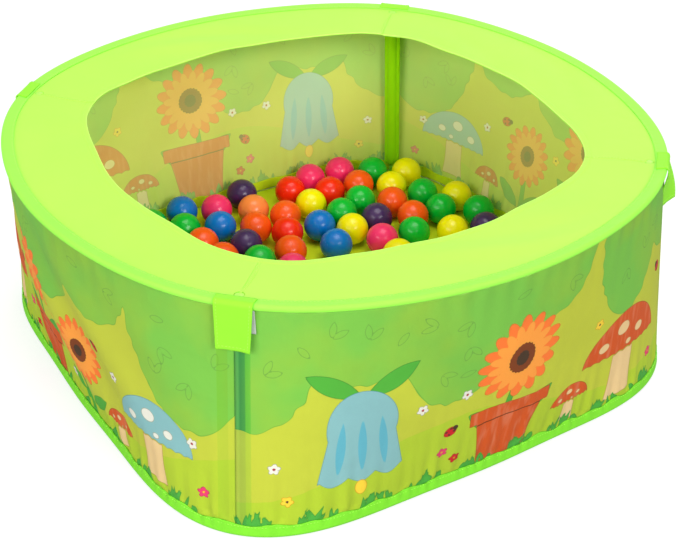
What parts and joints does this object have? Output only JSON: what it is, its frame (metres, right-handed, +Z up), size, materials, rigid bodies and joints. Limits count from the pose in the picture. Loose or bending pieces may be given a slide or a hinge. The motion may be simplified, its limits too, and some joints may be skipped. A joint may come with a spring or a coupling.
{
  "type": "ball pit",
  "caption": "Low square pop-up ball pit with sheer cloth walls between two sprung hoops, a flat collar, corner poles in sleeves and loose plastic balls.",
  "frame": {"origin": "on the ground under the middle of the pit", "axes": "+Z up; the four walls face +X, +Y, -X and -Y, and the front corner with the care label points to -X -Y"},
  "size_m": [0.8704, 0.8704, 0.3219],
  "materials": {
    "collar_cloth": "matte",
    "rim_tape": "matte",
    "base_tape": "matte",
    "wall_cloth": "matte",
    "floor_cloth": "matte",
    "sleeve_cloth": "matte",
    "tab_cloth": "matte",
    "label_cloth": "matte",
    "spring_steel": "satin",
    "pole_plastic": "satin",
    "ball_pink": "gloss",
    "ball_red": "gloss",
    "ball_orange": "gloss",
    "ball_peach": "gloss",
    "ball_yellow": "gloss",
    "ball_green": "gloss",
    "ball_blue": "gloss",
    "ball_purple": "gloss"
  },
  "bodies": {
    "pit": {"base_binding": "base_tape", "base_hoop_ferrule": "spring_steel", "base_hoop_wire": "spring_steel", "care_label": "label_cloth", "collar_back": "collar_cloth", "collar_front": "collar_cloth", "collar_left": "collar_cloth", "collar_right": "collar_cloth", "floor_sheet": "floor_cloth", "rim_binding": "rim_tape", "rim_hoop_ferrule": "spring_steel", "rim_hoop_wire": "spring_steel", "sleeve_back": "sleeve_cloth", "sleeve_front": "sleeve_cloth", "sleeve_left": "sleeve_cloth", "sleeve_right": "sleeve_cloth", "wall_back": "wall_cloth", "wall_front": "wall_cloth", "wall_left": "wall_cloth", "wall_right": "wall_cloth"},
    "pole_front": {"pole_front": "pole_plastic"},
    "tab_front": {"tab_front": "tab_cloth"},
    "pole_right": {"pole_right": "pole_plastic"},
    "tab_right": {"tab_right": "tab_cloth"},
    "pole_back": {"pole_back": "pole_plastic"},
    "tab_back": {"tab_back": "tab_cloth"},
    "pole_left": {"pole_left": "pole_plastic"},
    "tab_left": {"tab_left": "tab_cloth"},
    "ball_01_blue": {"ball_01_blue": "ball_blue"},
    "ball_02_green": {"ball_02_green": "ball_green"},
    "ball_03_pink": {"ball_03_pink": "ball_pink"},
    "ball_04_blue": {"ball_04_blue": "ball_blue"},
    "ball_05_purple": {"ball_05_purple": "ball_purple"},
    "ball_06_peach": {"ball_06_peach": "ball_peach"},
    "ball_07_orange": {"ball_07_orange": "ball_orange"},
    "ball_08_purple": {"ball_08_purple": "ball_purple"},
    "ball_09_orange": {"ball_09_orange": "ball_orange"},
    "ball_10_orange": {"ball_10_orange": "ball_orange"},
    "ball_11_green": {"ball_11_green": "ball_green"},
    "ball_12_orange": {"ball_12_orange": "ball_orange"},
    "ball_13_orange": {"ball_13_orange": "ball_orange"},
    "ball_14_red": {"ball_14_red": "ball_red"},
    "ball_15_pink": {"ball_15_pink": "ball_pink"},
    "ball_16_blue": {"ball_16_blue": "ball_blue"},
    "ball_17_blue": {"ball_17_blue": "ball_blue"},
    "ball_18_yellow": {"ball_18_yellow": "ball_yellow"},
    "ball_19_red": {"ball_19_red": "ball_red"},
    "ball_20_red": {"ball_20_red": "ball_red"},
    "ball_21_orange": {"ball_21_orange": "ball_orange"},
    "ball_22_green": {"ball_22_green": "ball_green"},
    "ball_23_green": {"ball_23_green": "ball_green"},
    "ball_24_purple": {"ball_24_purple": "ball_purple"},
    "ball_25_orange": {"ball_25_orange": "ball_orange"},
    "ball_26_green": {"ball_26_green": "ball_green"},
    "ball_27_green": {"ball_27_green": "ball_green"},
    "ball_28_yellow": {"ball_28_yellow": "ball_yellow"},
    "ball_29_purple": {"ball_29_purple": "ball_purple"},
    "ball_30_yellow": {"ball_30_yellow": "ball_yellow"},
    "ball_31_pink": {"ball_31_pink": "ball_pink"},
    "ball_32_yellow": {"ball_32_yellow": "ball_yellow"}
  },
  "joints": [
    {"name": "pole_front_draw", "type": "slide", "parent": "pit", "child": "pole_front", "axis": [0.0838, 0.0838, 0.9929], "range_m": [0, 0.33]},
    {"name": "tab_front_open", "type": "hinge", "parent": "pit", "child": "tab_front", "pos_m": [-0.30922, -0.30922, 0.31916], "axis": [-0.7071, 0.7071, 0], "range_deg": [0, 85]},
    {"name": "pole_right_draw", "type": "slide", "parent": "pit", "child": "pole_right", "axis": [-0.0838, 0.0838, 0.9929], "range_m": [0, 0.33]},
    {"name": "tab_right_open", "type": "hinge", "parent": "pit", "child": "tab_right", "pos_m": [0.30922, -0.30922, 0.31916], "axis": [-0.7071, -0.7071, 0], "range_deg": [0, 85]},
    {"name": "pole_back_draw", "type": "slide", "parent": "pit", "child": "pole_back", "axis": [-0.0838, -0.0838, 0.9929], "range_m": [0, 0.33]},
    {"name": "tab_back_open", "type": "hinge", "parent": "pit", "child": "tab_back", "pos_m": [0.30922, 0.30922, 0.31916], "axis": [0.7071, -0.7071, 0], "range_deg": [0, 85]},
    {"name": "pole_left_draw", "type": "slide", "parent": "pit", "child": "pole_left", "axis": [0.0838, -0.0838, 0.9929], "range_m": [0, 0.33]},
    {"name": "tab_left_open", "type": "hinge", "parent": "pit", "child": "tab_left", "pos_m": [-0.30922, 0.30922, 0.31916], "axis": [0.7071, 0.7071, 0], "range_deg": [0, 85]},
    {"name": "ball_01_blue_lift", "type": "slide", "parent": "pit", "child": "ball_01_blue", "axis": [0.0502, -0.2453, 0.9681], "range_m": [0, 0.455]},
    {"name": "ball_02_green_lift", "type": "slide", "parent": "pit", "child": "ball_02_green", "axis": [0.0281, -0.0916, 0.9954], "range_m": [0, 0.395]},
    {"name": "ball_03_pink_lift", "type": "slide", "parent": "pit", "child": "ball_03_pink", "axis": [0.009, -0.1475, 0.989], "range_m": [0, 0.41]},
    {"name": "ball_04_blue_lift", "type": "slide", "parent": "pit", "child": "ball_04_blue", "axis": [0, 0, 1], "range_m": [0, 0.345]},
    {"name": "ball_05_purple_lift", "type": "slide", "parent": "pit", "child": "ball_05_purple", "axis": [-0.0264, -0.232, 0.9724], "range_m": [0, 0.44]},
    {"name": "ball_06_peach_lift", "type": "slide", "parent": "pit", "child": "ball_06_peach", "axis": [-0.0047, -0.0434, 0.999], "range_m": [0, 0.38]},
    {"name": "ball_07_orange_lift", "type": "slide", "parent": "pit", "child": "ball_07_orange", "axis": [0, 0, 1], "range_m": [0, 0.345]},
    {"name": "ball_08_purple_lift", "type": "slide", "parent": "pit", "child": "ball_08_purple", "axis": [0, 0, 1], "range_m": [0, 0.345]},
    {"name": "ball_09_orange_lift", "type": "slide", "parent": "pit", "child": "ball_09_orange", "axis": [0, 0, 1], "range_m": [0, 0.345]},
    {"name": "ball_10_orange_lift", "type": "slide", "parent": "pit", "child": "ball_10_orange", "axis": [0, 0, 1], "range_m": [0, 0.345]},
    {"name": "ball_11_green_lift", "type": "slide", "parent": "pit", "child": "ball_11_green", "axis": [0, 0, 1], "range_m": [0, 0.345]},
    {"name": "ball_12_orange_lift", "type": "slide", "parent": "pit", "child": "ball_12_orange", "axis": [0, 0, 1], "range_m": [0, 0.345]},
    {"name": "ball_13_orange_lift", "type": "slide", "parent": "pit", "child": "ball_13_orange", "axis": [0, 0, 1], "range_m": [0, 0.345]},
    {"name": "ball_14_red_lift", "type": "slide", "parent": "pit", "child": "ball_14_red", "axis": [0, 0, 1], "range_m": [0, 0.345]},
    {"name": "ball_15_pink_lift", "type": "slide", "parent": "pit", "child": "ball_15_pink", "axis": [0, 0, 1], "range_m": [0, 0.345]},
    {"name": "ball_16_blue_lift", "type": "slide", "parent": "pit", "child": "ball_16_blue", "axis": [0, 0, 1], "range_m": [0, 0.345]},
    {"name": "ball_17_blue_lift", "type": "slide", "parent": "pit", "child": "ball_17_blue", "axis": [0, 0, 1], "range_m": [0, 0.345]},
    {"name": "ball_18_yellow_lift", "type": "slide", "parent": "pit", "child": "ball_18_yellow", "axis": [0, 0, 1], "range_m": [0, 0.345]},
    {"name": "ball_19_red_lift", "type": "slide", "parent": "pit", "child": "ball_19_red", "axis": [-0.0621, -0.1713, 0.9833], "range_m": [0, 0.4]},
    {"name": "ball_20_red_lift", "type": "slide", "parent": "pit", "child": "ball_20_red", "axis": [-0.0542, -0.0894, 0.9945], "range_m": [0, 0.39]},
    {"name": "ball_21_orange_lift", "type": "slide", "parent": "pit", "child": "ball_21_orange", "axis": [-0.0068, -0.0055, 1], "range_m": [0, 0.345]},
    {"name": "ball_22_green_lift", "type": "slide", "parent": "pit", "child": "ball_22_green", "axis": [0, 0, 1], "range_m": [0, 0.345]},
    {"name": "ball_23_green_lift", "type": "slide", "parent": "pit", "child": "ball_23_green", "axis": [0, 0, 1], "range_m": [0, 0.345]},
    {"name": "ball_24_purple_lift", "type": "slide", "parent": "pit", "child": "ball_24_purple", "axis": [0, 0, 1], "range_m": [0, 0.345]},
    {"name": "ball_25_orange_lift", "type": "slide", "parent": "pit", "child": "ball_25_orange", "axis": [0, 0, 1], "range_m": [0, 0.345]},
    {"name": "ball_26_green_lift", "type": "slide", "parent": "pit", "child": "ball_26_green", "axis": [-0.1183, -0.0551, 0.9914], "range_m": [0, 0.395]},
    {"name": "ball_27_green_lift", "type": "slide", "parent": "pit", "child": "ball_27_green", "axis": [0, 0, 1], "range_m": [0, 0.345]},
    {"name": "ball_28_yellow_lift", "type": "slide", "parent": "pit", "child": "ball_28_yellow", "axis": [0, 0, 1], "range_m": [0, 0.345]},
    {"name": "ball_29_purple_lift", "type": "slide", "parent": "pit", "child": "ball_29_purple", "axis": [-0.163, -0.0258, 0.9863], "range_m": [0, 0.395]},
    {"name": "ball_30_yellow_lift", "type": "slide", "parent": "pit", "child": "ball_30_yellow", "axis": [0, 0, 1], "range_m": [0, 0.345]},
    {"name": "ball_31_pink_lift", "type": "slide", "parent": "pit", "child": "ball_31_pink", "axis": [0, 0, 1], "range_m": [0, 0.345]},
    {"name": "ball_32_yellow_lift", "type": "slide", "parent": "pit", "child": "ball_32_yellow", "axis": [0, 0, 1], "range_m": [0, 0.345]}
  ]
}
